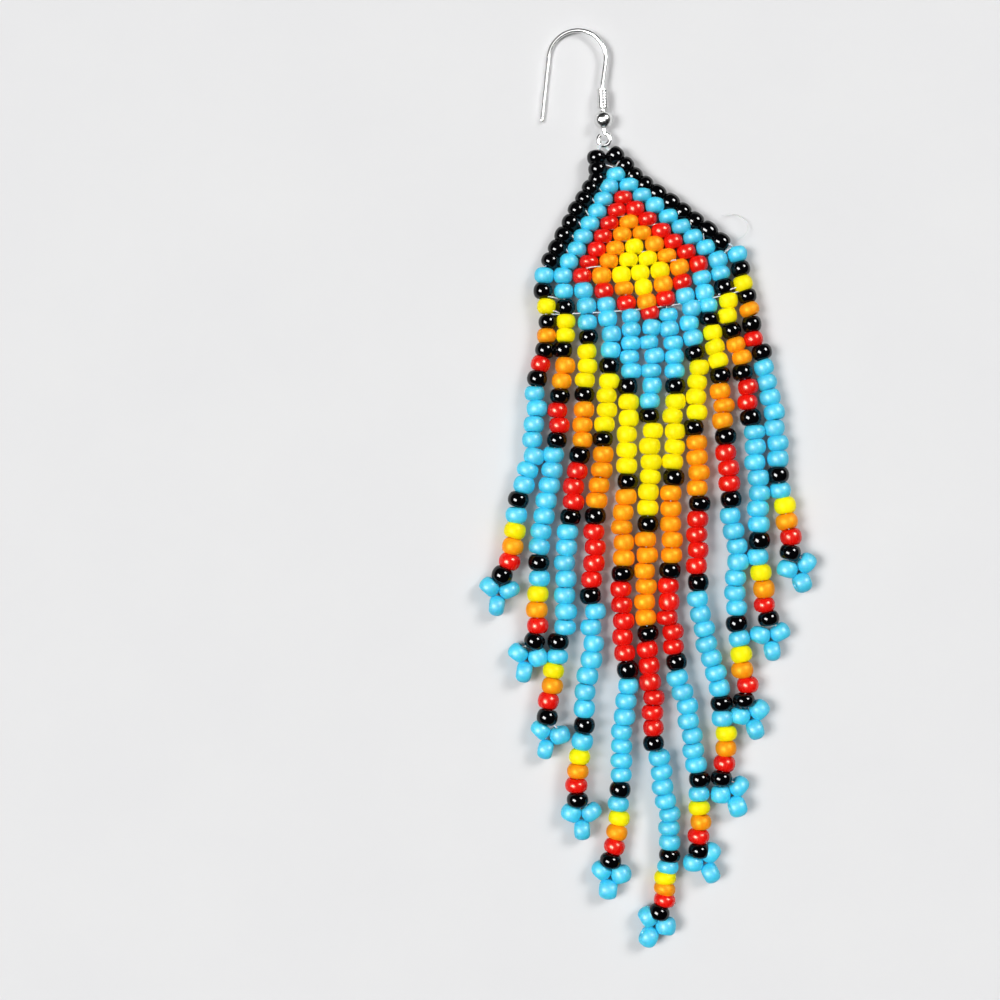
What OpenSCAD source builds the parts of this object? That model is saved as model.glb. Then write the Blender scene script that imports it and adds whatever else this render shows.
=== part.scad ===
// A beaded fringe earring laid flat: a woven bead panel, eleven strings of beads, and an ear hook.
// Millimetres. +Y runs along the earring towards the hook, +Z is up, and the floor is at z = 0.

/* [Strings of beads] */
// Thickness of a string over the rounded edges of its beads
string_d = 2.6; // [2.4:0.05:2.7]
// Thickness of the edging along the slopes of the panel
edging_d = 2.2; // [2:0.05:2.3]
// Length over which the end of a string is rounded off
end_round = 0.6; // [0.4:0.1:0.9]
// Width left at a rounded end, as a share of the string's thickness
end_share = 0.62; // [0.5:0.02:0.8]

/* [Bead panel] */
// Thickness of the panel over its beads
panel_h = 2.7; // [2.5:0.05:2.8]
// Thickness of the panel in the seam between two rows
seam_h = 2; // [1.8:0.05:2.2]
// Spacing of the beads across a row
bead_pitch = 2.83; // [2.8:0.01:2.86]
// Number of rows in the triangle, each one bead wider than the row above
brick_rows = 8; // [8:1:8]
// Spacing of the rows in the triangle, whose beads nest between each other
brick_pitch = 1.75; // [1.7:0.05:1.8]
// Number of beads across the base rows
base_beads = 11; // [11:1:11]
// Number of base rows
base_rows = 3; // [3:1:3]
// Spacing of the base rows, whose beads stand in straight columns
base_pitch = 2.05; // [2:0.05:2.1]

/* [Bead drops at the ends] */
// Diameter of a bead in a drop
drop_bead_d = 2.8; // [2.7:0.05:2.85]
// Distance between the centres of the three beads in a drop
drop_side = 2.7; // [2.6:0.05:2.7]

/* [Ear hook] */
// Diameter of the wire
wire_d = 0.65; // [0.6:0.01:0.7]
// Bend radius of the loop below the ball
loop_r = 0.85; // [0.82:0.01:0.88]
// Bend radius of the arch over the ear
arch_r = 4.2; // [4:0.1:4.4]
// Straight stretch of the front leg above the coil
front_leg = 3.3; // [3:0.1:3.6]
// Straight length of the back leg, which goes through the ear
back_leg = 9.4; // [9:0.1:9.6]
// Angle by which the front leg kinks forward above the coil
kink = 10; // [8:1:12]
// Angle by which the back leg flares out
flare = 8; // [6:1:10]
// Diameter of the ball
ball_d = 2.7; // [2.6:0.05:2.8]
// Outer diameter of the coil
coil_d = 1.7; // [1.6:0.05:1.8]
// Number of turns in the coil
coil_turns = 7; // [6:1:8]
// Length of the coil
coil_l = 3.3; // [3.2:0.05:3.4]

/* [Thread] */
// Thickness of the thread bundle that ties the loop to the panel
thread_d = 0.3; // [0.25:0.01:0.32]
// Bend radius of the thread round the loop's wire
thread_r = 0.54; // [0.53:0.01:0.56]
// Straight length of the thread between its two bends
thread_l = 0.95; // [0.9:0.05:1]

/* [Hidden] */

// Clearance between a bored piece and the wire through it
wire_gap = 0.04;
// Clearance between the ball and what sits above and below it on the wire
seat_gap = 0.05;
// Bend radius of the wire where the front leg kinks forward
kink_r = 2.5;
// Depth of the groove between two turns of the coil
coil_groove = 0.18;
// Number of sides of a string
string_sides = 8;
// Widths of the ball at a joint in the wire and of the wire's rounded tip, as shares of the wire
joint_share = 1.02;
tip_share = 0.98;

// Place of the ball, and how the hook lies: turned on the floor, rolled and pitched
hook_at = [-6.5, 53.5];
hook_turn = 2;
hook_roll = -6.4;
hook_pitch = -0.9;
// Place where the thread bundle bends between the two top beads, and its height on the floor
thread_at = [-6.2, 48.45];
thread_h = 1.4;

// Centre of the top bead of the triangle
panel_top = [-4.7, 45.4];
// Sideways drift of the rows for each millimetre down the panel
panel_drift = 0.238;
// How much a row climbs to the right, as a slope and as a curve
row_slope = 0.105;
row_curve = 0.006;
// Amount by which the sides of the panel stay inside their outermost beads
panel_inset = 0.15;
// Width of the rounding along the sides of the panel, and its thickness at the very edge
rim_w = 0.6;
rim_h = 0.9;
// Number of stretches across the flat of the panel
panel_steps = 6;

// Routes of the strings, from the panel to the last bead above the drop
strand_routes = [
    [[-15, 25.6], [-15.5, 18], [-16.4, 11], [-17.3, 4], [-18.7, -3], [-20, -10], [-21.3, -13.5]],
    [[-11.9, 25.5], [-12.2, 18], [-12.8, 11], [-13.9, 4], [-14.8, -3], [-15.5, -10], [-16, -17],
        [-16.9, -23.2]],
    [[-9, 25.4], [-8.8, 18], [-9.2, 11], [-10.1, 4], [-11.1, -3], [-11.8, -10], [-12.3, -17],
        [-13.2, -24], [-14.7, -34.2]],
    [[-6, 25.3], [-5.6, 18], [-5.9, 11], [-6.9, 4], [-7.5, -3], [-8, -10], [-8.3, -17],
        [-8.2, -24], [-8.9, -31], [-9.7, -38], [-10.4, -46.3]],
    [[-2.9, 25.4], [-2.5, 18], [-2.8, 11], [-3.1, 4], [-3.3, -3], [-3.9, -10], [-4.2, -17],
        [-3.7, -24], [-3, -31], [-3.5, -38], [-3.9, -45], [-5.3, -54.9]],
    [[0.1, 25.7], [0.7, 18], [0.6, 11], [0.2, 4], [0, -3], [-0.3, -10], [-0.4, -17],
        [-0.1, -24], [0.7, -31], [1.3, -38], [2.6, -45], [3, -52], [2.8, -57], [2, -61.9]],
    [[3.1, 26.2], [3.8, 18], [4, 11], [3.6, 4], [3.3, -3], [3.3, -10], [3.2, -17],
        [3.6, -24], [5.3, -31], [6.6, -38], [7.5, -45], [7.2, -52.6]],
    [[5.9, 26.5], [7, 18], [7.2, 11], [7.1, 4], [6.8, -3], [7.1, -10], [7.3, -17],
        [8.6, -24], [10, -31], [11, -38], [11, -42.9]],
    [[8.7, 27.2], [10.1, 18], [10.8, 11], [11.3, 4], [11.8, -3], [12.6, -10], [12.8, -17],
        [13.6, -24], [14.3, -31.5]],
    [[11.3, 27.8], [13.6, 18], [15.1, 11], [15.6, 4], [16, -3], [16.2, -10], [17.5, -20.1]],
    [[14.1, 28.5], [16.9, 18], [18.3, 11], [19, 4], [20, -3], [20.8, -10.4]]
];

// Drops at the ends of the strings: the place of each centre, and the turn of its lowest bead
drops = [
    [-21.8, -15.9, -99], [-17.7, -25.6, -103], [-14.5, -36.8, -105], [-9.8, -48.6, -87],
    [-5.5, -57.2, -100], [0.9, -64.3, -118], [8.3, -55.1, -60], [12.3, -45.2, -66],
    [15.1, -33.9, -72], [17.9, -22.3, -82], [22, -12.5, -72]
];

// Routes of the black edging, from the two top beads down both slopes
edging_left_route = [[-7.5, 48.9], [-7.6, 46.4], [-9, 43.6], [-10.9, 40.6], [-12.7, 36.7],
    [-14.7, 32.8]];
edging_right_route = [[-5.4, 49.1], [-3.6, 48.1], [-1.5, 46.3], [1.7, 43.7], [5.4, 40.8],
    [9, 37.7], [10.7, 36.2]];

// A closed solid through sections that have equal numbers of points, whose first and last
// halves mirror each other. Each section is seen clockwise along the way the sections run.
module loft(sections) {
    count = len(sections[0]);
    last = (len(sections) - 1) * count;
    sides = [for (s = [0 : len(sections) - 2], i = [0 : count - 1])
        let (a = s * count + i, b = s * count + (i + 1) % count)
        each [[a, b, b + count], [a, b + count, a + count]]];
    caps = [for (i = [0 : count / 2 - 2])
        let (j = count - 1 - i)
        each [[i, j, i + 1], [i + 1, j, j - 1],
            [last + i, last + i + 1, last + j], [last + i + 1, last + j - 1, last + j]]];
    polyhedron(points = [for (s = sections, p = s) p], faces = concat(sides, caps));
}

// Unit vector along v
function along(v) = v / norm(v);

// One section of a string at p, square to the direction dir, with the width d over its flats
function string_section(p, dir, d, h) = [for (k = [0 : string_sides - 1])
    let (a = (k + 0.5) * 360 / string_sides, r = d / 2 / cos(180 / string_sides))
    [p[0] + r * cos(a) * dir[1], p[1] - r * cos(a) * dir[0], h + r * sin(a)]];

// A string of beads of thickness d along a route on the floor, with rounded ends
module string(route, d) {
    n = len(route);
    dirs = [for (i = [0 : n - 1]) along(route[min(i + 1, n - 1)] - route[max(i - 1, 0)])];
    h = d / 2;
    first = string_section(route[0], dirs[0], d * end_share, h);
    second = string_section(route[0] + dirs[0] * end_round, dirs[0], d, h);
    middle = [for (i = [1 : n - 2]) string_section(route[i], dirs[i], d, h)];
    next = string_section(route[n - 1] - dirs[n - 1] * end_round, dirs[n - 1], d, h);
    final = string_section(route[n - 1], dirs[n - 1], d * end_share, h);
    loft(concat([first, second], middle, [next, final]));
}

// Number of beads in a row of the panel, counted from the top
function row_beads(row) = row <= brick_rows ? row : base_beads;

// Distance of a row's centre line from the top row, along the panel
function row_down(row) = row <= brick_rows
    ? (row - 1) * brick_pitch
    : (brick_rows - 1) * brick_pitch + (row - brick_rows) * base_pitch;

// Half the width of a row of the panel
function row_reach(row) = row_beads(row) * bead_pitch / 2 - panel_inset;

// One section across the panel: down from the top row, half width reach and thickness h
function panel_section(down, reach, h) =
    let (
        flat = reach - rim_w,
        half = concat(
            [[-reach, rim_h / 2]],
            [for (i = [0 : panel_steps]) [flat * (2 * i / panel_steps - 1), h / 2]],
            [[reach, rim_h / 2]]
        ),
        turn = [for (i = [len(half) - 1 : -1 : 0]) [half[i][0], -half[i][1]]]
    )
    [for (q = concat(half, turn)) [
        panel_top[0] + panel_drift * down + q[0],
        panel_top[1] - down + row_slope * q[0] + row_curve * q[0] * q[0],
        panel_h / 2 + q[1]
    ]];

module beadwork_panel() {
    rows = brick_rows + base_rows;
    // Each row is full over its middle half, and thinner where it meets its neighbours
    full = 0.25;
    ends = 0.5;
    sections = [for (row = [1 : rows])
        let (
            down = row_down(row),
            pitch = row <= brick_rows ? brick_pitch : base_pitch,
            reach = row_reach(row),
            seam_reach = min(reach, row < rows ? row_reach(row + 1) : reach)
        )
        each concat(
            row == 1 ? [panel_section(down - ends * pitch, reach - rim_w / 2, seam_h)] : [],
            [
                panel_section(down - full * pitch, reach, panel_h),
                panel_section(down + full * pitch, reach, panel_h),
                panel_section(down + ends * pitch, seam_reach, seam_h)
            ]
        )];
    color("darkorange") loft(sections);
}

module edging_left() {
    color("black") string(edging_left_route, edging_d);
}

module edging_right() {
    color("black") string(edging_right_route, edging_d);
}

// One string of the fringe, counted from the left
module strand(number) {
    color("deepskyblue") string(strand_routes[number - 1], string_d);
}

// Three beads that end a string, counted from the left
module picot(number) {
    drop = drops[number - 1];
    ring_r = drop_side / sqrt(3);
    color("deepskyblue")
        translate([drop[0], drop[1], drop_bead_d / 2])
        rotate([0, 0, drop[2]])
        union() {
            for (i = [0 : 2]) {
                rotate([0, 0, i * 120])
                    translate([ring_r, 0, 0])
                    sphere(d = drop_bead_d, $fn = 40);
            }
        }
}

// Lays the hook on its side, from a drawing whose origin is the ball's centre
module lay_hook() {
    translate([hook_at[0], hook_at[1], ball_d / 2])
        rotate([0, 0, hook_turn])
        rotate([hook_pitch, 0, 0])
        rotate([0, hook_roll, 0])
        children();
}

// One straight or bent stretch of wire that starts at the origin and runs along +Y
module wire_piece(radius, amount) {
    if (radius == 0)
        rotate([-90, 0, 0]) cylinder(d = wire_d, h = amount, $fn = 48);
    else if (amount > 0)
        translate([-radius, 0, 0])
            rotate_extrude(angle = amount, $fn = 96)
            translate([radius, 0])
            circle(d = wire_d, $fn = 48);
    else
        mirror([1, 0, 0]) wire_piece(radius, -amount);
}

// A run of wire. Each step is [bend radius, angle], positive to the left, or [0, length].
// Each stretch starts in a small ball, a hair wider than the wire, that joins it to the last.
module wire_run(steps, i = 0) {
    if (i < len(steps)) {
        radius = steps[i][0];
        amount = steps[i][1];
        wire_piece(radius, amount);
        if (i > 0)
            sphere(d = wire_d * joint_share, $fn = 48);
        if (radius == 0)
            translate([0, amount, 0]) wire_run(steps, i + 1);
        else
            translate([amount > 0 ? -radius : radius, 0, 0])
                rotate([0, 0, amount])
                translate([amount > 0 ? radius : -radius, 0, 0])
                wire_run(steps, i + 1);
    } else
        sphere(d = wire_d * tip_share, $fn = 48);
}

module ear_hook() {
    // The loop stops short of closing, then an opposite bend brings the wire under the ball
    loop_turn = 292;
    join = 60;
    loop_top = -ball_d / 2 - seat_gap;
    loop_y = loop_top - 2 * loop_r * sin(join);
    start = join - loop_turn;
    stem = ball_d + coil_l + 4 * seat_gap;
    color("silver")
        lay_hook()
        translate([0, loop_y, 0])
        rotate([0, 0, start])
        translate([loop_r, 0, 0])
        wire_run([
            [loop_r, loop_turn],
            [loop_r, -join],
            [0, stem],
            [kink_r, -kink],
            [0, front_leg],
            [arch_r, 180 + kink - flare],
            [0, back_leg]
        ]);
}

module hook_ball() {
    color("silver")
        lay_hook()
        rotate([-90, 0, 0])
        difference() {
            sphere(d = ball_d, $fn = 64);
            cylinder(d = wire_d + 2 * wire_gap, h = ball_d + 1, center = true, $fn = 32);
        }
}

module hook_coil() {
    bore_r = wire_d / 2 + wire_gap;
    turn_l = coil_l / coil_turns;
    groove_r = coil_d / 2 - coil_groove;
    flat = 0.25;
    profile = concat(
        [[bore_r, 0]],
        [for (t = [0 : coil_turns - 1]) each [
            [groove_r, t * turn_l],
            [coil_d / 2, (t + flat) * turn_l],
            [coil_d / 2, (t + 1 - flat) * turn_l]
        ]],
        [[groove_r, coil_l], [bore_r, coil_l]]
    );
    color("silver")
        lay_hook()
        translate([0, ball_d / 2 + seat_gap, 0])
        rotate([-90, 0, 0])
        rotate_extrude($fn = 48)
        polygon(profile);
}

// The thread bundle that passes through the hook's loop and between the two top beads
module thread_loop() {
    color("white")
        translate([thread_at[0], thread_at[1] + thread_r, thread_h])
        rotate([0, 90, 0])
        union() {
            for (side = [-1, 1]) {
                translate([side * thread_r, 0, 0])
                    rotate([-90, 0, 0])
                    cylinder(d = thread_d, h = thread_l, $fn = 24);
            }
            rotate([0, 0, 180])
                rotate_extrude(angle = 180, $fn = 48)
                translate([thread_r, 0])
                circle(d = thread_d, $fn = 24);
            translate([0, thread_l, 0])
                rotate_extrude(angle = 180, $fn = 48)
                translate([thread_r, 0])
                circle(d = thread_d, $fn = 24);
        }
}

ear_hook();
hook_ball();
hook_coil();
thread_loop();
beadwork_panel();
edging_left();
edging_right();
strand(1);  // strand_01
strand(2);  // strand_02
strand(3);  // strand_03
strand(4);  // strand_04
strand(5);  // strand_05
strand(6);  // strand_06
strand(7);  // strand_07
strand(8);  // strand_08
strand(9);  // strand_09
strand(10);  // strand_10
strand(11);  // strand_11
picot(1);  // picot_01
picot(2);  // picot_02
picot(3);  // picot_03
picot(4);  // picot_04
picot(5);  // picot_05
picot(6);  // picot_06
picot(7);  // picot_07
picot(8);  // picot_08
picot(9);  // picot_09
picot(10);  // picot_10
picot(11);  // picot_11
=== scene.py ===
"""A beaded fringe earring laid flat: seed beads on thread, and an ear hook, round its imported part."""

import math
import random

import bpy
import numpy as np
from mathutils import Matrix, Vector


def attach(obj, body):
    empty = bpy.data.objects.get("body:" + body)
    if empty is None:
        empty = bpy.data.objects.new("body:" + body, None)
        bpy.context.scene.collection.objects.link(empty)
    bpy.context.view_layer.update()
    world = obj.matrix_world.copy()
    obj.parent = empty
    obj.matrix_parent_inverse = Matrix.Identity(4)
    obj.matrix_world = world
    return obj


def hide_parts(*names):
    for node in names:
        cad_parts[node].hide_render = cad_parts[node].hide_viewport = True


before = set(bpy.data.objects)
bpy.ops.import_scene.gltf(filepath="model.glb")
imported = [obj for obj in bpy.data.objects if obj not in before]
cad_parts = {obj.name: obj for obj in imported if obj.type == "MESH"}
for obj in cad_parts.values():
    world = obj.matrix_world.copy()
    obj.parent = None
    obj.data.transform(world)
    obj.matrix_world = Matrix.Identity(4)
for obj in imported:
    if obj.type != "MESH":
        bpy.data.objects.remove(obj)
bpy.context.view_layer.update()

# Sizes and places below are in millimetres, and MM turns them into the frame's metres
MM = 0.001

# Thickness of the beads in the strings, the panel, the edging and the drops
BEAD_D = 3.16
PANEL_BEAD_D = 2.84
EDGING_BEAD_D = 2.75
DROP_BEAD_D = 3.02
# Radii as shares of the bead's: of the hole, and of the flat ends outside the panel and inside it
HOLE_SHARE = 0.32
FACE_SHARE = 0.51
PANEL_FACE_SHARE = 0.43
# The worn edge of the hole: how much wider it is, and its ends as shares of half the bead's length
RIM_SHARE = 0.07
RIM_TOP = 0.985
RIM_FOOT = 0.9
# The bulge: 1 makes its section round, and less makes it squarer
BULGE = 0.98
BEAD_SIDES = 36
BULGE_STEPS = 12
# Streaks in the glass: how far they stretch along the hole, and from how large a block each bead is cut
STREAK_STRETCH = 0.3
GLASS_BLOCK = 50
# How much beads differ: in diameter, in length, in the lean of their end faces and in tilt
DIAMETER_SPREAD = 0.016
LENGTH_SPREAD = 0.045
WEDGE_SPREAD = 0.035
TILT_SPREAD = math.radians(3.4)
# How far a bead strays sideways, in the panel and its edging and in a string, how much its height
# differs, and how far the beads round the panel stay off the floor
BEAD_JITTER = 0.06
STRING_JITTER = 0.19
BEAD_LIFT = 0.08
FLOOR_GAP = 0.03
# Least length of the bead at each end of a string, and of any bead: beads nest where they lie closer
END_BEAD_L = 2.1
NESTED_BEAD_L = 1.9
# Over how many beads a string grows from the panel's thickness to its own
SLIM_BEADS = 11

# The panel's rows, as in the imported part
PANEL_TOP = (-4.7, 45.4)
PANEL_DRIFT = 0.238
ROW_SLOPE = 0.105
ROW_CURVE = 0.006
BEAD_PITCH = 2.83
BRICK_ROWS = 8
BRICK_PITCH = 1.75
BASE_BEADS = 11
BASE_ROWS = 3
BASE_PITCH = 2.05
# Length of the beads in the triangle and in the base rows, and how high their middles lie
BRICK_BEAD_L = 2.06
BASE_BEAD_L = 2.32
PANEL_Z = 1.47
# How far the rows halfway down bow to the right, and the length of the panel that bows
PANEL_BOW = 0.3
PANEL_BOW_L = 19.5
# How far the triangle's middle rows crowd upwards, how much further each base row sags at its left end
# than the row above it, and how far the lower ones jut out there
PANEL_CROWD = 0.24
BASE_SAG = 0.36
BASE_JUT = 0.6
# How much higher the beads at the ends of the triangle's rows ride
END_RISE = 0.22
# Bridges of thread below the rows: how far past the beads' ends they sag, and how high they arch,
# at least and at most
BRIDGE_SAG = 0.1
BRIDGE_RISE = (-0.3, 0.5)
# How high the stitches start and how much they arch
STITCH_Z = PANEL_Z + 0.6
STITCH_ARCH = 0.5
# Stitches that show between the beads of the panel: from where to where
STITCHES = [
    [(-9.1, 31.7), (-7, 32)], [(3.2, 32.8), (4.3, 32.9)], [(10.2, 27.9), (13, 29)],
    [(-14.7, 27.6), (-13.2, 27.3)], [(-13.9, 25.5), (-12.9, 25.2)], [(11, 33.9), (12, 34.7)],
]

# Where some beads of each string lie: its first, its third, its fifth and every fourth one after that,
# and its last one
STRANDS = [
    [(-15, 23.9), (-15, 19.9), (-16.4, 15.8), (-16.6, 6.7), (-18.8, -2), (-20.3, -11), (-21.3, -13)],
    [(-12, 24.1), (-12.1, 19.9), (-12.6, 15.3), (-13.4, 6.7), (-14.7, -2.1), (-15.9, -11.1),
     (-16.2, -20.4), (-16.8, -22.5)],
    [(-8.9, 23.9), (-8.8, 19.6), (-9, 15.5), (-9.6, 6.7), (-11.1, -2.3), (-12, -11.2), (-12.5, -20.6),
     (-14, -29.1), (-14.7, -33.7)],
    [(-5.8, 24.5), (-5.6, 19.9), (-6, 15.3), (-6.4, 6.9), (-7.4, -2.1), (-8, -11.2), (-7.9, -20.7),
     (-8.8, -30.1), (-9.9, -39.6), (-10.4, -45.7)],
    [(-2.8, 24.8), (-2.7, 20.8), (-2.5, 16.9), (-2.8, 7.5), (-3.2, -1.6), (-3.7, -10.5), (-3.8, -19.7),
     (-3, -29.2), (-3.7, -38), (-4, -46.4), (-5.4, -54.5)],
    [(0.1, 25.3), (0.3, 21), (0.7, 16.9), (0.4, 8), (0.1, -0.9), (-0.3, -10.1), (-0.4, -19.1),
     (0.6, -28.6), (1, -37.5), (2.8, -46), (3, -54), (2.4, -60.4), (1.9, -62.2)],
    [(3.2, 25), (3.6, 20.9), (4, 16.8), (3.8, 8), (3.4, -1), (3.5, -10.1), (3, -19.1),
     (4.5, -27.9), (6.5, -36.4), (7.6, -44.9), (7.2, -53.1)],
    [(6.3, 26), (6.2, 21.5), (7.4, 17.3), (6.8, 8.6), (7.4, -0.3), (7.1, -9.3), (7.4, -18.8),
     (9.9, -27.3), (11.1, -36.1), (10.9, -42.6)],
    [(9, 26.4), (9.1, 22.3), (10.5, 18.4), (11.3, 9.5), (11.9, 0.3), (12.8, -8.8), (12.8, -17.7),
     (14, -26.8), (14.3, -31.1)],
    [(11.8, 27.1), (12.2, 22.7), (13.6, 18.7), (15.1, 10.1), (16, 1.2), (16.1, -7.9), (17.1, -17.4),
     (17.5, -19.3)],
    [(14.3, 27.7), (15.4, 23.7), (16.3, 19.4), (18.4, 10.8), (19.1, 1.7), (20.8, -7.4), (20.7, -9.7)],
]
# Numbers of the first two of these beads, counted from 0, and the step from the fifth bead on
STRAND_STARTS = (0, 2)
STRAND_STEP = 4

# The pattern, with B, Y, O, R and K for blue, yellow, orange, red and black beads: the colours of the
# triangle from its slopes inwards, and its tip, which reaches down into the inner strings
TRIANGLE = "BROY"
TIP = "YYOR"
# The middle string's number
MIDDLE_STRING = 6
# The colours of a string's stripes, and the beads below them
STRIPES = "BYOR"
TAIL = "B" * 7 + "K" + STRIPES + "K"

# Drops at the ends of the strings: the place of each centre, and the turn of its lowest bead
DROPS = [
    (-21.8, -15.8, -99), (-17.7, -25.5, -103), (-14.5, -36.8, -105), (-9.7, -48.5, -87),
    (-5.5, -57.2, -100), (0.9, -64.3, -118), (8.3, -55, -60), (12.3, -45.2, -66),
    (15.1, -33.9, -72), (17.9, -22.4, -82), (22, -12.5, -72),
]
# Distance between the centres of a drop's beads, and their length
DROP_SIDE = 2.95
DROP_BEAD_L = 2.3
# How far the last bead of a string rides up on its drop
RIDE_UP = 0.38

# Where some beads of the black edging lie: the number of the bead from the top, and its place
EDGING = {
    "left": [(0, (-7.5, 47.9)), (2, (-7.2, 44.7)), (3, (-8.4, 43.5)), (5, (-10.4, 40.4)),
             (7, (-12.2, 36.5)), (9, (-14.3, 33))],
    "right": [(0, (-4.8, 48.3)), (1, (-3.3, 46.7)), (3, (-0.7, 44)), (5, (3.3, 41.4)),
              (7, (6.8, 38.7)), (9, (10.6, 35.6))],
}
# How high the stitches that hold the edging arch up, at least and at most
STITCH_RISE = {"left": (0.2, 0.7), "right": (0.7, 1)}

# The ear hook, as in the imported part
HOOK_AT = (-6.5, 53.5)
HOOK_TURN = 2
HOOK_ROLL = -6.4
HOOK_PITCH = -0.9
BALL_D = 2.7
COIL_D = 1.7
COIL_L = 3.3
COIL_TURNS = 7
SEAT_GAP = 0.05
# The coil's wire, and how many points each of its turns has
COIL_WIRE_D = 0.44
COIL_STEPS = 28
# Colour of the tarnished metal as a share of the bright metal's
TARNISH_SHADE = 0.72
# Centre of the hook's ring, and the radius of its middle line
RING_AT = (-6.4, 50.63, 1.4)
RING_R = 0.85

# A pass of thread through the ring, as places from the lowest point of the ring's middle line,
# and how far apart the passes lie
RING_PASS = [(-0.75, -0.3, 0.3), (-0.25, 0.1, 0.5), (0, 0.52, 0.1), (0.15, 0.1, -0.5), (0.55, -0.45, -0.1)]
PASS_GAP = 0.2

# Thread: its thickness where it shows, inside the strings, and at its loose end
STITCH_D = 0.2
CORE_D = 0.26
LOOSE_D = 0.1
# The loose end of thread that curls out past the right slope
LOOSE_END = [(13, 35.9, 1.4), (14.5, 37.1, 1.1), (14.5, 38.8, 0.7), (12.9, 39.8, 0.4), (10.9, 39.6, 0.9)]

# Lamps: their distance from the earring's middle in metres, and their directions from there
LAMP_DISTANCE = 0.9
LEFT = (-0.59, -0.05, 0.8)
RIGHT = (0.57, 0.46, 0.69)
ABOVE = (0, 0, 1)
# Far lamps: the direction, the strength, and the spread in degrees
FAR_LAMPS = {"key": (LEFT, 2.42, 26), "second": (RIGHT, 1.46, 23), "fill": (ABOVE, 0.82, 100)}
# Half the floor's width, in metres
FLOOR_REACH = 3

# Camera: the middle of its view, the view's width at the beads' middle, and its height above that
VIEW_CENTRE = (-21.6, -2.04)
VIEW_WIDTH = 146
VIEW_HEIGHT = 230


# Materials


def new_material(name):
    """A material with its Principled shader, and its node tree."""
    material = bpy.data.materials.new(name)
    material.use_nodes = True
    tree = material.node_tree
    return material, tree, tree.nodes["Principled BSDF"]


def node(tree, kind, **values):
    """A node with its inputs set by name."""
    made = tree.nodes.new(kind)
    for key, value in values.items():
        made.inputs[key].default_value = value
    return made


def scaled(tree, value, low, high):
    """A value from 0 to 1 mapped to the range from low to high."""
    made = tree.nodes.new("ShaderNodeMapRange")
    made.inputs["To Min"].default_value = low
    made.inputs["To Max"].default_value = high
    tree.links.new(value, made.inputs["Value"])
    return made.outputs["Result"]


def attribute(tree, name):
    """A node that reads what a bead keeps by this name."""
    made = tree.nodes.new("ShaderNodeAttribute")
    made.attribute_name = name
    return made


def own_place(tree):
    """Each point's place on its own piece."""
    return tree.nodes.new("ShaderNodeTexCoord").outputs["Object"]


def noise(tree, vector, **values):
    """Smooth noise from 0 to 1, over the places that the vector gives."""
    made = node(tree, "ShaderNodeTexNoise", **values)
    tree.links.new(vector, made.inputs["Vector"])
    return made.outputs["Fac"]


def blended(tree, factor, first, second):
    """A colour that goes from the first one to the second as the factor goes from 0 to 1."""
    made = tree.nodes.new("ShaderNodeMix")
    made.data_type = "RGBA"
    made.inputs["A"].default_value = (*first, 1)
    made.inputs["B"].default_value = (*second, 1)
    tree.links.new(factor, made.inputs["Factor"])
    return made.outputs["Result"]


def bumps(tree, height, **values):
    """Small bumps in the surface."""
    made = node(tree, "ShaderNodeBump", **values)
    tree.links.new(height, made.inputs["Height"])
    return made.outputs["Normal"]


def bead_glass(name, colour, deep, roughness, shine, glint, glow=(1, 1, 1), depth=0, coat=0):
    """Pressed glass: faint streaks along the hole, a tone for each bead, and a fire-polished skin.

    Light goes a little way into all but the black, furthest in the glass's own hue, which is its glow.
    """
    material, tree, shader = new_material(name)
    link = tree.links.new
    grain = attribute(tree, "grain").outputs["Vector"]
    tone = attribute(tree, "tone").outputs["Fac"]

    streaks = scaled(tree, noise(tree, grain, Scale=2.4, Detail=4, Roughness=0.6), low=-0.35, high=1.1)
    shift = node(tree, "ShaderNodeHueSaturation")
    link(blended(tree, streaks, colour, deep), shift.inputs["Color"])
    link(scaled(tree, tone, low=0.92, high=1.06), shift.inputs["Value"])
    link(shift.outputs["Color"], shader.inputs["Base Color"])

    skin = noise(tree, grain, Scale=1.5, Detail=2, Roughness=0.5)
    uneven = scaled(tree, skin, low=roughness * 0.7, high=roughness * 1.4)
    link(uneven, shader.inputs["Roughness"])
    link(bumps(tree, skin, Strength=0.22, Distance=0.00003), shader.inputs["Normal"])
    shader.inputs["IOR"].default_value = 1.52
    shader.inputs["Specular IOR Level"].default_value = shine
    shader.inputs["Specular Tint"].default_value = (*glint, 1)
    shader.inputs["Coat Weight"].default_value = coat
    shader.inputs["Coat Roughness"].default_value = 0.25
    shader.inputs["Subsurface Weight"].default_value = depth
    shader.inputs["Subsurface Radius"].default_value = glow
    shader.inputs["Subsurface Scale"].default_value = 0.0005
    return material


def polished_metal(name, colour, roughness):
    """Polished wire with fine drawn scratches and a slight tarnish."""
    material, tree, shader = new_material(name)
    link = tree.links.new
    spot = own_place(tree)
    tarnish = scaled(tree, noise(tree, spot, Scale=900, Detail=3, Roughness=0.55), low=-0.3, high=1)
    tarnished = [channel * TARNISH_SHADE for channel in colour]
    link(blended(tree, tarnish, colour, tarnished), shader.inputs["Base Color"])

    stretch = node(tree, "ShaderNodeMapping", Scale=(9000, 2200, 9000))
    link(spot, stretch.inputs["Vector"])
    scratches = noise(tree, stretch.outputs["Vector"], Scale=1, Detail=3, Roughness=0.6)
    uneven = scaled(tree, scratches, low=roughness * 0.6, high=roughness * 1.5)
    link(uneven, shader.inputs["Roughness"])
    link(bumps(tree, scratches, Strength=0.2, Distance=0.00001), shader.inputs["Normal"])
    shader.inputs["Metallic"].default_value = 1
    return material


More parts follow.
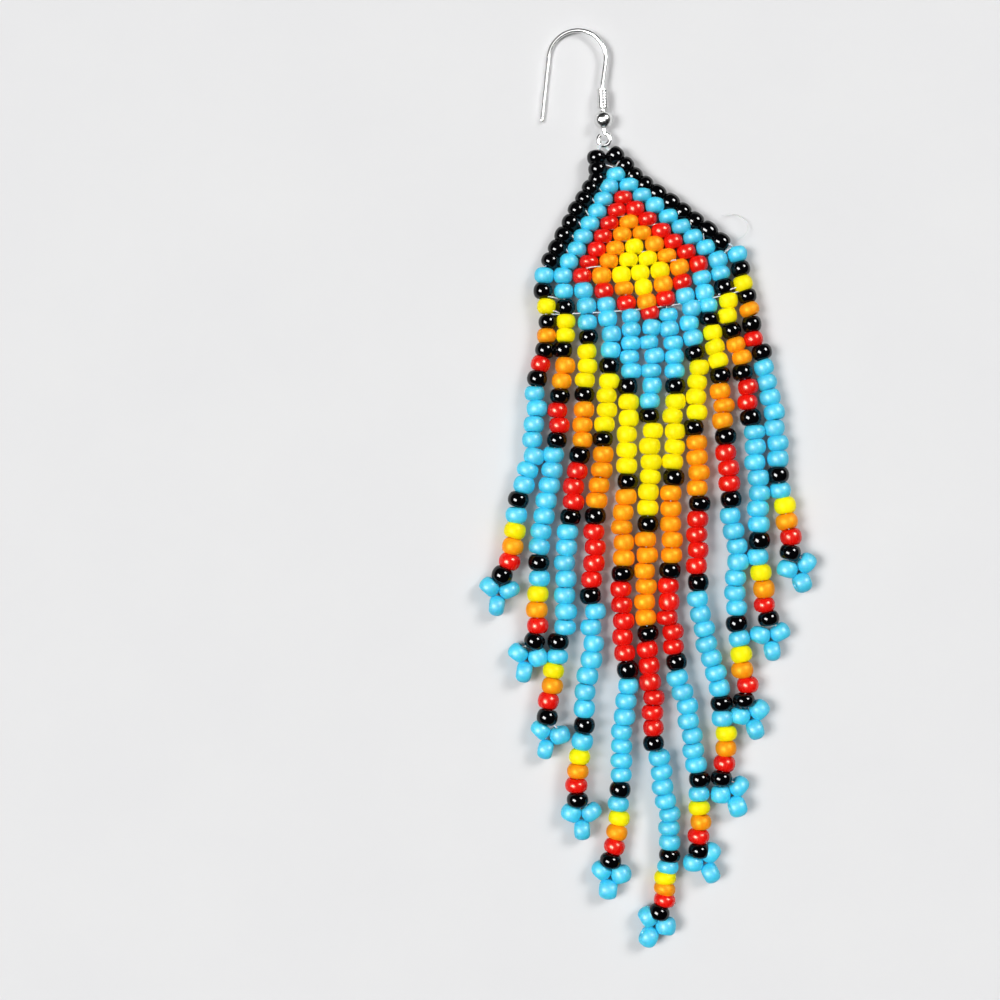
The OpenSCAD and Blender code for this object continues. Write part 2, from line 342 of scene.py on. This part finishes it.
def nylon_thread(name):
    """Clear nylon beading thread, pale and a little glossy."""
    material, tree, shader = new_material(name)
    link = tree.links.new
    twist = noise(tree, own_place(tree), Scale=3500, Detail=2, Roughness=0.5)
    link(blended(tree, twist, (0.76, 0.78, 0.78), (0.50, 0.54, 0.56)), shader.inputs["Base Color"])
    link(scaled(tree, twist, low=0.2, high=0.4), shader.inputs["Roughness"])
    shader.inputs["IOR"].default_value = 1.53
    shader.inputs["Subsurface Weight"].default_value = 0.3
    shader.inputs["Subsurface Scale"].default_value = 0.0002
    return material


def pale_floor(name):
    """Plain pale matt floor with a trace of mottling."""
    material, tree, shader = new_material(name)
    mottle = noise(tree, own_place(tree), Scale=40, Detail=5, Roughness=0.6)
    paint = blended(tree, mottle, (0.66, 0.66, 0.67), (0.70, 0.70, 0.70))
    tree.links.new(paint, shader.inputs["Base Color"])
    shader.inputs["Roughness"].default_value = 0.8
    shader.inputs["Specular IOR Level"].default_value = 0.1
    return material


# Glass by the letters that stand for blue, yellow, orange, red and black beads
GLASS = {
    "B": bead_glass("glass_blue", (0.015, 0.61, 0.82), (0.006, 0.48, 0.76),
                    roughness=0.56, shine=0.8, glint=(1, 1, 1), glow=(0.1, 0.5, 1), depth=0.3, coat=0.2),
    "Y": bead_glass("glass_yellow", (0.98, 0.86, 0.003), (0.94, 0.76, 0.002),
                    roughness=0.42, shine=0.22, glint=(1, 0.95, 0.2), glow=(1, 0.8, 0.1), depth=0.3),
    "O": bead_glass("glass_orange", (0.96, 0.33, 0.003), (0.9, 0.24, 0.002),
                    roughness=0.48, shine=0.85, glint=(1, 0.8, 0.09), glow=(1, 0.25, 0.05), depth=0.4),
    "R": bead_glass("glass_red", (0.82, 0.007, 0.004), (0.70, 0.004, 0.002),
                    roughness=0.26, shine=0.5, glint=(1, 0.75, 0.56), glow=(1, 0.2, 0.1), depth=0.2),
    "K": bead_glass("glass_black", (0.0015, 0.0015, 0.002), (0.001, 0.001, 0.0012),
                    roughness=0.09, shine=0.3, glint=(1, 1, 1)),
}
METAL = polished_metal("hook_metal", (0.86, 0.86, 0.85), 0.2)
NYLON = nylon_thread("nylon_thread")


# Beads


def bead_profile(face_share):
    """Half section of a bead, as shares: (distance from the axis, place along the hole)."""
    points = []
    for step in range(BULGE_STEPS + 1):
        t = math.radians(-90 + 180 * step / BULGE_STEPS)
        out = max(math.cos(t), 0) ** BULGE
        up = math.copysign(abs(math.sin(t)) ** BULGE, t)
        points.append((face_share + (1 - face_share) * out, up))
    rim = HOLE_SHARE + RIM_SHARE
    points += [(rim, RIM_TOP), (HOLE_SHARE, RIM_FOOT), (HOLE_SHARE, -RIM_FOOT), (rim, -RIM_TOP)]
    return points


def bead_template(face_share):
    """A bead of radius 1 and half length 1 whose hole runs along Y: its points and its faces."""
    profile = bead_profile(face_share)
    count = len(profile)
    turns = [2 * math.pi * i / BEAD_SIDES for i in range(BEAD_SIDES)]
    points = [(r * math.cos(a), s, r * math.sin(a)) for a in turns for r, s in profile]
    faces = []
    for i in range(BEAD_SIDES):
        for j in range(count):
            here, beside = i * count, (i + 1) % BEAD_SIDES * count
            above = (j + 1) % count
            faces.append((here + j, here + above, beside + above, beside + j))
    return np.array(points), np.array(faces)


STRING_BEAD, BEAD_FACES = bead_template(FACE_SHARE)
PANEL_BEAD, _ = bead_template(PANEL_FACE_SHARE)


class Beads:
    """Gathers beads into one mesh. Each keeps its own colour, tone and grain."""

    def __init__(self, name, template=STRING_BEAD):
        self.name = name
        self.template = template
        self.random = random.Random(name)
        self.points, self.faces, self.grain, self.tones, self.letters = [], [], [], [], []

    def add(self, letter, centre, axis, length, diameter):
        """Adds a bead of the letter's colour, whose hole runs roughly along the axis."""
        draw = self.random
        axis = Vector(axis).normalized()
        side = Vector((axis.y, -axis.x, 0)).normalized()
        up = side.cross(axis)
        axis = (axis + side * draw.gauss(0, TILT_SPREAD) + up * draw.gauss(0, TILT_SPREAD)).normalized()
        side = (side - axis * side.dot(axis)).normalized()
        up = side.cross(axis)

        radius = diameter / 2
        oval = 1 + draw.gauss(0, DIAMETER_SPREAD) / 2
        lean_x = draw.gauss(0, WEDGE_SPREAD)
        lean_z = draw.gauss(0, WEDGE_SPREAD)
        shape = self.template.copy()
        shape[:, 1] *= 1 + lean_x * shape[:, 0] + lean_z * shape[:, 2]
        shape *= np.array([radius * oval, length / 2, radius / oval])
        turned = shape @ np.array([side, axis, up])
        self.faces.append(BEAD_FACES + sum(map(len, self.points)))
        self.points.append(turned + np.array(centre))
        offset = np.array([draw.uniform(0, GLASS_BLOCK) for _ in range(3)])
        self.grain.append(shape * np.array([1, STREAK_STRETCH, 1]) + offset)
        self.tones.append(np.full(len(shape), draw.random()))
        self.letters += [letter] * len(BEAD_FACES)

    def build(self, slot, *nodes):
        """Makes the mesh, and puts it into the scene in place of some nodes."""
        mesh = bpy.data.meshes.new(self.name)
        points = np.concatenate(self.points) * MM
        faces = np.concatenate(self.faces)
        mesh.from_pydata(points.tolist(), [], faces.tolist())
        used = sorted(set(self.letters))
        for letter in used:
            mesh.materials.append(GLASS[letter])
        mesh.polygons.foreach_set("material_index", [used.index(x) for x in self.letters])
        mesh.polygons.foreach_set("use_smooth", [True] * len(faces))
        grain = mesh.attributes.new("grain", "FLOAT_VECTOR", "POINT")
        grain.data.foreach_set("vector", np.concatenate(self.grain).astype(np.float32).ravel())
        tone = mesh.attributes.new("tone", "FLOAT", "POINT")
        tone.data.foreach_set("value", np.concatenate(self.tones).astype(np.float32))
        mesh.update()
        place(bpy.data.objects.new(self.name, mesh), slot, *nodes)


def place(piece, slot, *nodes):
    """Puts a piece into the scene, on the part's one body, in place of some of its nodes."""
    bpy.context.scene.collection.objects.link(piece)
    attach(piece, "root")
    if nodes:
        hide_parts(*nodes)
    return piece


# Thread and routes


def smooth_run(points, steps=8):
    """A smooth line through a few points, as a Catmull-Rom curve."""
    points = [Vector(p) for p in points]
    padded = [2 * points[0] - points[1]] + points + [2 * points[-1] - points[-2]]
    line = []
    for a, b, c, d in zip(padded, padded[1:], padded[2:], padded[3:]):
        for step in range(steps):
            t = step / steps
            line.append(0.5 * (2 * b + (c - a) * t + (2 * a - 5 * b + 4 * c - d) * t * t
                               + (3 * b - a - 3 * c + d) * t ** 3))
    line.append(points[-1])
    return line


def round_wire(name, runs, diameter, material, slot, *nodes):
    """Runs of thread or wire as one curve. Each run is a list of points in millimetres."""
    curve = bpy.data.curves.new(name, "CURVE")
    curve.dimensions = "3D"
    curve.bevel_depth = diameter / 2 * MM
    curve.bevel_resolution = 2
    curve.use_fill_caps = True
    for run in runs:
        spline = curve.splines.new("POLY")
        spline.points.add(len(run) - 1)
        for point, p in zip(spline.points, run):
            point.co = (p[0] * MM, p[1] * MM, p[2] * MM, 1)
        spline.use_smooth = True
    curve.materials.append(material)
    return place(bpy.data.objects.new(name, curve), slot, *nodes)


def threads(name, runs, diameter, *nodes):
    """Runs of nylon thread as one curve."""
    round_wire(name, runs, diameter, NYLON, "thread", *nodes)


class Route:
    """A smooth line on the floor, measured along its length, that goes on straight past its ends."""

    STEPS = 24

    def __init__(self, points):
        self.line = smooth_run([(x, y, 0) for x, y in points], self.STEPS)
        lengths = [(b - a).length for a, b in zip(self.line, self.line[1:])]
        self.marks = np.concatenate([[0], np.cumsum(lengths)])

    def at(self, distance):
        """The point at a distance along the line."""
        i = int(np.clip(np.searchsorted(self.marks, distance) - 1, 0, len(self.line) - 2))
        a, b = self.line[i], self.line[i + 1]
        return a + (b - a) * (distance - self.marks[i]) / (self.marks[i + 1] - self.marks[i])

    def spread(self, stops):
        """Distances of all beads, where stops tells which bead lies at each of the line's points."""
        return np.interp(range(stops[-1] + 1), stops, self.marks[::self.STEPS])


def sideways(direction):
    """The level direction at a right angle to another one."""
    return Vector((direction.y, -direction.x, 0))


# Colours of the pattern


def string_letters(string):
    """Beads of a whole string, from the base down to the last one above the drop.

    The inner strings start with the tip of the triangle's pattern. The rank, which is 1 for the outermost
    strings and highest for the middle one, is the number of beads in each stripe.
    """
    rank = min(string, 2 * MIDDLE_STRING - string)
    tip = TIP[MIDDLE_STRING - rank:]
    stripes = "".join(letter * rank + "K" for letter in STRIPES)
    return tip + stripes + TAIL


def triangle_letter(row, column):
    """Colour of a bead in the triangle, by how far it is from the slopes."""
    depth = min(column, row + 1 - column, len(TRIANGLE))
    return TRIANGLE[depth - 1]


# Panel


def row_count(row):
    """How many beads a row of the panel has."""
    return row if row <= BRICK_ROWS else BASE_BEADS


def panel_bead(row, column):
    """Centre of a bead in the panel, and the direction of its hole, up the panel."""
    if row <= BRICK_ROWS:
        down = (row - 1) * BRICK_PITCH
    else:
        down = (BRICK_ROWS - 1) * BRICK_PITCH + (row - BRICK_ROWS) * BASE_PITCH
    across = (column - (row_count(row) + 1) / 2) * BEAD_PITCH
    bow = PANEL_BOW * math.sin(math.pi * down / PANEL_BOW_L)
    x = PANEL_TOP[0] + PANEL_DRIFT * down + across + bow
    y = PANEL_TOP[1] - down + ROW_SLOPE * across + ROW_CURVE * across ** 2
    if row <= BRICK_ROWS:
        y += PANEL_CROWD * math.sin(math.pi * (row - 1) / (BRICK_ROWS - 1))
    elif across < 0:
        base_row = row - BRICK_ROWS - 1
        outwards = (across / (BASE_BEADS * BEAD_PITCH / 2)) ** 2
        x -= BASE_JUT * min(base_row, 1) * outwards
        y -= BASE_SAG * base_row * outwards
    slope = ROW_SLOPE + 2 * ROW_CURVE * across
    at_end = row <= BRICK_ROWS and column in (1, row)
    z = PANEL_Z + (END_RISE if at_end else 0)
    return Vector((x, y, z)), Vector((-slope, 1, 0)).normalized()


def make_panel():
    """The stitched triangle, the base rows below it, and the thread that shows between their beads."""
    beads = Beads("panel_beads", PANEL_BEAD)
    draw = beads.random
    for row in range(1, BRICK_ROWS + BASE_ROWS + 1):
        for column in range(1, row_count(row) + 1):
            centre, axis = panel_bead(row, column)
            if row <= BRICK_ROWS:
                letter = triangle_letter(row, column)
                usual = BRICK_BEAD_L
            else:
                letter = string_letters(column)[row - BRICK_ROWS - 1]
                usual = BASE_BEAD_L
            stray_x, stray_y = draw.gauss(0, BEAD_JITTER), draw.gauss(0, BEAD_JITTER)
            jitter = Vector((stray_x, stray_y, draw.uniform(0, BEAD_LIFT)))
            length = usual * (1 + draw.gauss(0, LENGTH_SPREAD))
            diameter = PANEL_BEAD_D * (1 + draw.gauss(0, DIAMETER_SPREAD))
            beads.add(letter, centre + jitter, axis, length, diameter)
    beads.build("panel_beads", "beadwork_panel")
    stitches = [raised_stitch(*ends) for ends in STITCHES]
    threads("panel_thread", list(row_bridges(draw)) + stitches, STITCH_D)


def raised_stitch(start, end):
    """A short run of thread that arches up between the beads."""
    start = Vector((*start, STITCH_Z))
    end = Vector((*end, STITCH_Z))
    return smooth_run([start, (start + end) / 2 + Vector((0, 0, STITCH_ARCH)), end], steps=6)


def row_bridges(draw):
    """Short bridges of thread between neighbouring beads, below the triangle's rows and the last row."""
    last_row = BRICK_ROWS + BASE_ROWS
    for row in [*range(1, BRICK_ROWS), last_row]:
        drop = BRICK_PITCH / 2 if row < BRICK_ROWS else BASE_PITCH / 2
        for column in range(1, row_count(row)):
            # Some show in the triangle, and the last row's are a line across the strings
            rise = max(BRIDGE_RISE) if row == last_row else draw.uniform(*BRIDGE_RISE)
            left, axis = panel_bead(row, column)
            right, _ = panel_bead(row, column + 1)
            middle = (left + right) / 2 - axis * (drop + BRIDGE_SAG) + Vector((0, 0, rise))
            yield smooth_run([left - axis * drop, middle, right - axis * drop], steps=5)


# Strings, drops and edging


def string_beads(name, letters, route, stops, slot, cad_node, jitter, sizes, ride_up=0):
    """Strings beads along a route, each against the next, and returns the places of their centres.

    The sizes are how thick each bead would be if all were even, and the last bead rides up a little.
    """
    beads = Beads(name)
    draw = beads.random
    middles = route.spread(stops)
    joints = (middles[1:] + middles[:-1]) / 2
    # The end beads press on nothing, so they keep their whole length
    above = max(joints[0] - middles[0], END_BEAD_L / 2)
    below = max(middles[-1] - joints[-1], END_BEAD_L / 2)
    joints = [middles[0] - above, *joints, middles[-1] + below]
    pitch = middles[-1] / (len(middles) - 1)
    joints = [joint + draw.gauss(0, LENGTH_SPREAD) * pitch / 2 for joint in joints]
    lifts = [0] * (len(letters) - 1) + [ride_up]
    centres = []
    for letter, size, lift, near, far in zip(letters, sizes, lifts, joints, joints[1:]):
        start, end = route.at(near), route.at(far)
        along = (end - start).normalized()
        diameter = size * (1 + draw.gauss(0, DIAMETER_SPREAD))
        height = diameter / 2 + FLOOR_GAP + draw.uniform(0, BEAD_LIFT) + lift
        centre = (start + end) / 2 + sideways(along) * draw.gauss(0, jitter) + Vector((0, 0, height))
        beads.add(letter, centre, -along, max(far - near, NESTED_BEAD_L), diameter)
        centres.append(centre)
    beads.build(slot, cad_node)
    return centres


def make_drop(number):
    """Makes the three beads at the end of a string, and returns the places of their centres."""
    x, y, turn = DROPS[number - 1]
    beads = Beads(f"picot_{number:02d}_beads")
    draw = beads.random
    ring_r = DROP_SIDE / math.sqrt(3)
    centres = []
    for i in range(3):
        angle = math.radians(turn + 120 * i)
        out = Vector((math.cos(angle), math.sin(angle), 0))
        diameter = DROP_BEAD_D * (1 + draw.gauss(0, DIAMETER_SPREAD))
        centre = Vector((x, y, (diameter + BEAD_LIFT) / 2 + FLOOR_GAP)) + out * ring_r
        length = DROP_BEAD_L * (1 + draw.gauss(0, LENGTH_SPREAD))
        beads.add("B", centre, sideways(out), length, diameter)
        centres.append(centre)
    beads.build("picot_beads", f"picot_{number:02d}")
    return centres


def make_strings():
    """The eleven strings of the fringe, their drops, and the thread inside them."""
    for number, points in enumerate(STRANDS, 1):
        letters = string_letters(number)[BASE_ROWS:]
        name = f"strand_{number:02d}"
        last = len(letters) - 1
        stops = [*STRAND_STARTS, *range(STRAND_STEP, last, STRAND_STEP), last]
        sizes = np.interp(range(last + 1), [0, SLIM_BEADS], [PANEL_BEAD_D, BEAD_D])
        core = string_beads(f"{name}_beads", letters, Route(points), stops, "strand_beads", name,
                            STRING_JITTER, sizes, RIDE_UP)
        top, _ = panel_bead(BRICK_ROWS + 1, number)
        # The thread goes down the string, round the three beads, and back up
        lowest, right, left = make_drop(number)
        loop = smooth_run([core[-1], left, lowest, right, core[-1]], steps=10)
        threads(f"{name}_thread", [[top] + core, loop], CORE_D)


def make_edging():
    """The black edging of both slopes, and the thread that sews it to the rows' ends."""
    for side, points in EDGING.items():
        name = f"edging_{side}"
        stops = [edging_bead for edging_bead, _ in points]
        route = Route([spot for _, spot in points])
        count = stops[-1] + 1
        core = string_beads(f"{name}_beads", "K" * count, route, stops, "edging_beads", name,
                            BEAD_JITTER, [EDGING_BEAD_D] * count)
        draw = random.Random(name)
        runs = [core]
        for row in range(1, BRICK_ROWS + 2):
            bead, axis = panel_bead(row, 1 if side == "left" else row_count(row))
            if row > BRICK_ROWS:
                # The base is wider than the last row: its end bead hangs from the last edging bead
                joint = core[-1]
            else:
                joint = (core[row] + core[row - 1]) / 2
            top = bead + axis * BRICK_BEAD_L / 2
            middle = (top + joint) / 2 + Vector((0, 0, draw.uniform(*STITCH_RISE[side])))
            runs.append(smooth_run([top, middle, joint], steps=6))
        threads(f"{name}_thread", runs, STITCH_D)
    threads("loose_thread_end", [smooth_run(LOOSE_END)], LOOSE_D)


# Ear hook


def lay_hook():
    """The hook's own frame, with its origin at the ball's centre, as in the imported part."""
    return (Matrix.Translation((HOOK_AT[0], HOOK_AT[1], BALL_D / 2))
            @ Matrix.Rotation(math.radians(HOOK_TURN), 4, "Z")
            @ Matrix.Rotation(math.radians(HOOK_PITCH), 4, "X")
            @ Matrix.Rotation(math.radians(HOOK_ROLL), 4, "Y"))


def make_hook():
    """Gives the hook and its ball their metal, winds the coil, and returns all three."""
    pieces = [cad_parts[name] for name in ("ear_hook", "hook_ball")]
    for piece in pieces:
        piece.data.materials.clear()
        piece.data.materials.append(METAL)
    radius = (COIL_D - COIL_WIRE_D) / 2
    start = BALL_D / 2 + SEAT_GAP + COIL_WIRE_D / 2
    rise = COIL_L - COIL_WIRE_D
    count = COIL_TURNS * COIL_STEPS
    hook_frame = lay_hook()
    run = []
    for i in range(count + 1):
        # Both ends of the coil lie on its underside
        angle = 2 * math.pi * i / COIL_STEPS - math.pi / 2
        spot = Vector((radius * math.cos(angle), start + rise * i / count, radius * math.sin(angle)))
        run.append(hook_frame @ spot)
    coil = round_wire("hook_coil_wire", [run], COIL_WIRE_D, METAL, "hook_metal", "hook_coil")
    return [*pieces, coil]


def make_hook_thread():
    """Passes of thread from one top bead, through the hook's ring, to the other top bead."""
    bead_middle = EDGING_BEAD_D / 2 + FLOOR_GAP
    left, right = (Vector((*EDGING[side][0][1], bead_middle)) for side in ("left", "right"))
    x, y, z = RING_AT
    low = y - RING_R
    runs = []
    for number in (-1, 0, 1):
        shift = PASS_GAP * number
        through = [(x + dx + shift, low + dy, z + dz) for dx, dy, dz in RING_PASS]
        runs.append(smooth_run([left, *through, right]))
    threads("hook_thread", runs, STITCH_D, "thread_loop")


# Floor, lights and camera


def hang_lamp(light, direction):
    """Puts a light in a direction from the earring's middle, and turns it to face it."""
    lamp = bpy.data.objects.new(light.name, light)
    bpy.context.scene.collection.objects.link(lamp)
    direction = Vector(direction).normalized()
    lamp.location = direction * LAMP_DISTANCE
    lamp.rotation_euler = direction.to_track_quat("Z", "Y").to_euler()
    return lamp


def far_lamp(name, direction, strength, spread):
    """A far soft lamp that shows in no reflection. Its spread is in degrees."""
    light = bpy.data.lights.new(name, "SUN")
    light.energy = strength
    light.angle = math.radians(spread)
    hang_lamp(light, direction).visible_glossy = False


def glint_lamp(name, direction, size, power, shape="RECTANGLE", spin=0):
    """A near lamp that shows only as a glint. Its size is in metres, and its spin in degrees."""
    light = bpy.data.lights.new(name, "AREA")
    light.shape = shape
    light.size, light.size_y = size
    light.energy = power
    lamp = hang_lamp(light, direction)
    lamp.visible_diffuse = False
    lamp.rotation_euler.rotate_axis("Z", math.radians(spin))
    return lamp


def light_metal(pieces):
    """A wide soft lamp straight above that lights the metal alone, and shows in it as a bright sky."""
    lit = bpy.data.collections.new("metal")
    for piece in pieces:
        lit.objects.link(piece)
    lamp = glint_lamp("metal_glint", ABOVE, size=(0.7, 0.7), power=2.7)
    lamp.light_linking.receiver_collection = lit


def make_stage():
    """The floor, its lamps, and the pale backdrop."""
    mesh = bpy.data.meshes.new("floor")
    reach = FLOOR_REACH
    mesh.from_pydata([(-reach, -reach, 0), (reach, -reach, 0), (reach, reach, 0), (-reach, reach, 0)],
                     [], [(0, 1, 2, 3)])
    mesh.materials.append(pale_floor("floor_paint"))
    floor = bpy.data.objects.new("floor", mesh)
    bpy.context.scene.collection.objects.link(floor)

    for name, values in FAR_LAMPS.items():
        far_lamp(name, *values)
    glint_lamp("left_glint", LEFT, size=(0.32, 0.52), power=20, spin=-30)
    glint_lamp("right_glint", RIGHT, size=(0.36, 0.36), power=12, shape="ELLIPSE")

    world = bpy.data.worlds.new("studio")
    bpy.context.scene.world = world
    world.use_nodes = True
    background = world.node_tree.nodes["Background"]
    background.inputs["Color"].default_value = (0.82, 0.82, 0.82, 1)
    background.inputs["Strength"].default_value = 1
    # The backdrop is as pale as the floor, and lights nothing
    seen = world.cycles_visibility
    seen.diffuse = seen.glossy = seen.transmission = seen.scatter = False
    bpy.context.scene.view_settings.view_transform = "Standard"


def make_camera():
    """A camera that looks straight down."""
    camera = bpy.data.cameras.new("camera")
    camera.angle = 2 * math.atan(VIEW_WIDTH / 2 / VIEW_HEIGHT)
    camera.clip_start = 0.01
    eye = bpy.data.objects.new("camera", camera)
    bpy.context.scene.collection.objects.link(eye)
    eye.location = (VIEW_CENTRE[0] * MM, VIEW_CENTRE[1] * MM, (VIEW_HEIGHT + BEAD_D / 2) * MM)
    bpy.context.scene.camera = eye


make_camera()
make_stage()
make_panel()
make_edging()
make_strings()
light_metal(make_hook())
make_hook_thread()
